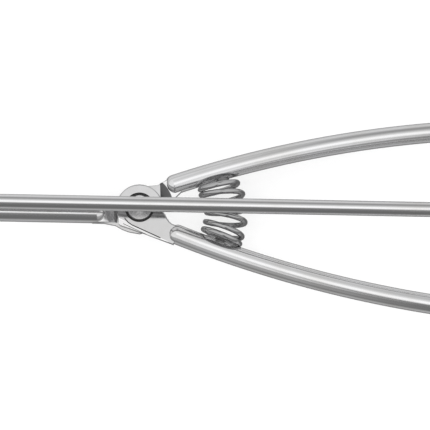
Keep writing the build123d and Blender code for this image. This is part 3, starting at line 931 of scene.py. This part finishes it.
total_steps = round(TURNS * TURN_STEPS)
for step in range(total_steps + 1):
    turns = TURNS * step / total_steps
    here = wire_point(turns)
    ahead = (wire_point(turns + 0.002) - wire_point(turns - 0.002)).normalized()
    level = math.atan2(here.y, here.x)
    axis_point = Vector((math.cos(level), math.sin(level), 0)) * axis_reach(math.degrees(level))
    side = here - axis_point
    side = (side - ahead * side.dot(ahead)).normalized()
    from_end = min(step, total_steps - step)
    full = (0.55, 0.85, 0.97, 1.0)[min(from_end, 3)]
    spring_stations.append((at(*here), side, ahead.cross(side).normalized(), WIRE_R * full,
                            WIRE_R * full, 2))
spring = ringed_mesh("spring_coil", spring_stations, spring_wire)
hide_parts("coil_spring")
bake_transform(spring)
print("spring", round(TURNS, 2), "turns")

# %% [markdown]
# Each jaw is a pressed bowl, its flutes deepest at the rim, where they end in shallow scallops
# that hold food. A subdivided sphere could be squashed into shape, but a spun profile keeps the
# sheet's thickness even. So the outer skin is a formula, and the inner skin is the same one moved
# in by the sheet's thickness.

# %% Fluted jaw bowls
JAW_R, JAW_STRETCH, JAW_DEPTH, JAW_PAD_R, JAW_WALL = 15.0, 1.45, 9.0, 4.5, 0.95
JAW_X, JAW_GAP = -106.0, 0.25
FLUTES, FLUTE_DEPTH, SCALLOP_DEPTH = 18, 0.85, 0.9
JAW_AROUND, JAW_RINGS = 216, 26
wall_run = JAW_R - JAW_PAD_R
WALL_R = (wall_run ** 2 + JAW_DEPTH ** 2) / (2 * JAW_DEPTH)
WALL_SWEEP = math.asin(wall_run / WALL_R)


def bowl_profile(share, inset):
    """Radius and depth of a bowl's skin: share runs from the middle (0) to the rim (1)."""
    pad_share = 0.22
    if share < pad_share:
        return JAW_PAD_R * share / pad_share, JAW_DEPTH - inset
    swept = WALL_SWEEP * (share - pad_share) / (1 - pad_share)
    radius = JAW_PAD_R + (WALL_R - inset) * math.sin(swept)
    return radius, JAW_DEPTH - WALL_R + (WALL_R - inset) * math.cos(swept)


def bowl_point(side, share, turn_angle, inset):
    """One point of a fluted bowl, in the tool's frame."""
    radius, depth = bowl_profile(share, inset)
    valley = 0.5 - 0.5 * math.cos(FLUTES * turn_angle)
    strength = ease(share, 0.35, 1.0)
    radius -= FLUTE_DEPTH * valley * strength
    depth += SCALLOP_DEPTH * valley ** 2 * ease(share, 0.86, 1.0)
    return at(JAW_X + radius * math.cos(turn_angle) * JAW_STRETCH,
              side * (JAW_GAP + depth), radius * math.sin(turn_angle))


def jaw_bowl(name, side):
    """Outer and inner skins joined at the rim."""
    bm = bmesh.new()
    skins = []
    for inset in (0.0, JAW_WALL):
        rings = []
        for i in range(1, JAW_RINGS + 1):
            share = i / JAW_RINGS
            rings.append([bm.verts.new(bowl_point(side, share, 2 * math.pi * k / JAW_AROUND, inset))
                          for k in range(JAW_AROUND)])
        for inner, outer in zip(rings, rings[1:]):
            for k in range(JAW_AROUND):
                m = (k + 1) % JAW_AROUND
                bm.faces.new((inner[k], inner[m], outer[m], outer[k]))
        middle = bm.verts.new(bowl_point(side, 0, 0, inset))
        for k in range(JAW_AROUND):
            bm.faces.new((middle, rings[0][k], rings[0][(k + 1) % JAW_AROUND]))
        skins.append(rings[-1])
    for k in range(JAW_AROUND):
        m = (k + 1) % JAW_AROUND
        bm.faces.new((skins[0][k], skins[0][m], skins[1][m], skins[1][k]))
    return keep_piece(name, bm, pressed_sheet)


for name, node, body, side in (("fixed_bowl", "fixed_jaw", "frame", -1),
                               ("moving_bowl", "moving_jaw", "lever", 1)):
    bowl = jaw_bowl(name, side)
    rolled = bowl.modifiers.new("rolled_rim", "BEVEL")
    rolled.width = 0.3 * MM
    rolled.segments = 3
    rolled.limit_method = "ANGLE"
    rolled.angle_limit = math.radians(50)
    apply_modifiers(bowl)
    settle_normals(bowl, 50)
    stand_for(bowl, node, body)

# %% [markdown]
# Something has to hold the spring's ends, and a short peg on each handle is a common way. It is
# assumed here. It is left rough, and its steel is painted dark as painted shade inside the coils; its
# end is rounded so that the spring slides on.

# %% Spring pegs
# Dark steel on the pegs: painted shade inside the coils.
peg_painted_shade = steel("peg_painted_shade", 0.22, 0.35, drawn, (0, 0, 0), {"Along": 900.0, "Across": 900.0},
                   0.15, 0.10)
STUD_HALF_R, STUD_REACH = 2.1, 1.5
STUD_SUNK = 2.25       # from the handle's centre line to the start of the peg
STUDS = (  # node, body, angle of its root about the pivot, heading
    ("spring_stud_upper", "lever", 27.0, -63.0), ("spring_stud_lower", "frame", -29.5, 60.5),
)
for node, body, root_angle, heading in STUDS:
    root = (SPRING_ARC_R * math.cos(math.radians(root_angle))
            + STUD_SUNK * math.cos(math.radians(heading)),
            SPRING_ARC_R * math.sin(math.radians(root_angle))
            + STUD_SUNK * math.sin(math.radians(heading)))
    stud_length = HEAVY_R + STUD_REACH - STUD_SUNK
    stud = planar_rod(node + "_peg", root, heading, [(stud_length, 0)], stud_length, (0.2, 0.7),
                      even_round(STUD_HALF_R), peg_painted_shade)
    stand_for(stud, node, body)

# %% [markdown]
# The small turned parts have the right shape in CAD, so they keep their meshes. Most get a finish
# whose rings are centred on their own axis, the rivets one of fine marks, and all get normals that
# break at their edges.

# %% Turned parts
tail_middle = (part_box("tail_eyelet")[0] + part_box("tail_eyelet")[1]) / 2
tail_steel = steel("turned_eyelet", 0.74, 0.20, turned, tail_middle, {"Rings": 7000.0}, 0.10, 0.15)
rivet_steel = steel("rivet_steel", 0.74, 0.22, drawn, (0, 0, 0), {"Along": 900.0, "Across": 900.0},
                    0.10, 0.10)
TURNED = {
    "pivot_pin": turned_steel, "pivot_washer": turned_steel, "rear_collar": turned_steel,
    "tail_eyelet": tail_steel, "fixed_jaw_rivets": rivet_steel, "moving_jaw_rivets": rivet_steel,
}
for node, finish in TURNED.items():
    mesh = frame["nodes"][node].data
    mesh.materials.clear()
    mesh.materials.append(finish)
    mesh.shade_smooth()
    mesh.set_sharp_from_angle(angle=math.radians(30))
print(len(TURNED), "turned parts finished")
